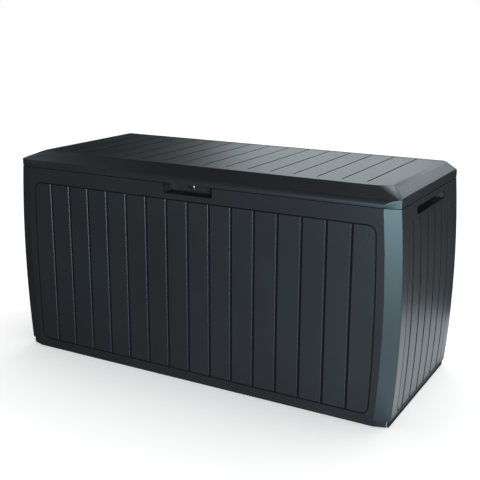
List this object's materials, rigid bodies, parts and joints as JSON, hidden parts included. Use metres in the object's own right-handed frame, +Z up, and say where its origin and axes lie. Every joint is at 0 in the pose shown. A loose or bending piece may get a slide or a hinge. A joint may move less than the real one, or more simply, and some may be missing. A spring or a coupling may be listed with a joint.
{
  "type": "deck storage box",
  "caption": "Long garden storage box with bowed ends, boarded panels, grip slots and a hinged lid with a padlock tab.",
  "frame": {"origin": "middle of the footprint, on the ground", "axes": "+X along the box, +Y from the notched front to the hinged back, +Z up"},
  "size_m": [1.16, 0.475, 0.585],
  "materials": {
    "wall_plastic": "moulded anthracite plastic with a fine grain",
    "lid_plastic": "moulded anthracite plastic, smooth rim, fine grain on top",
    "floor_plastic": "plain moulded black plastic",
    "key_plastic": "plain moulded black plastic",
    "lock_plastic": "plain moulded grey plastic",
    "pin_steel": "drawn steel rod",
    "screw_steel": "zinc plated"
  },
  "bodies": {
    "box": {"front_panel": "wall_plastic", "back_panel": "wall_plastic", "left_end_panel": "wall_plastic", "right_end_panel": "wall_plastic", "floor_panel": "floor_plastic", "front_left_corner_key": "key_plastic", "front_right_corner_key": "key_plastic", "back_left_corner_key": "key_plastic", "back_right_corner_key": "key_plastic", "left_hinge_pin": "pin_steel", "middle_hinge_pin": "pin_steel", "right_hinge_pin": "pin_steel", "lock_socket": "lock_plastic", "lock_pin": "pin_steel", "lock_screws": "screw_steel"},
    "lid": {"lid": "lid_plastic"}
  },
  "joints": [
    {"name": "lid_hinge", "type": "hinge", "parent": "box", "child": "lid", "pos_m": [0, 0.2305, 0.552], "axis": [-1, 0, 0], "range_deg": [0, 95]}
  ]
}
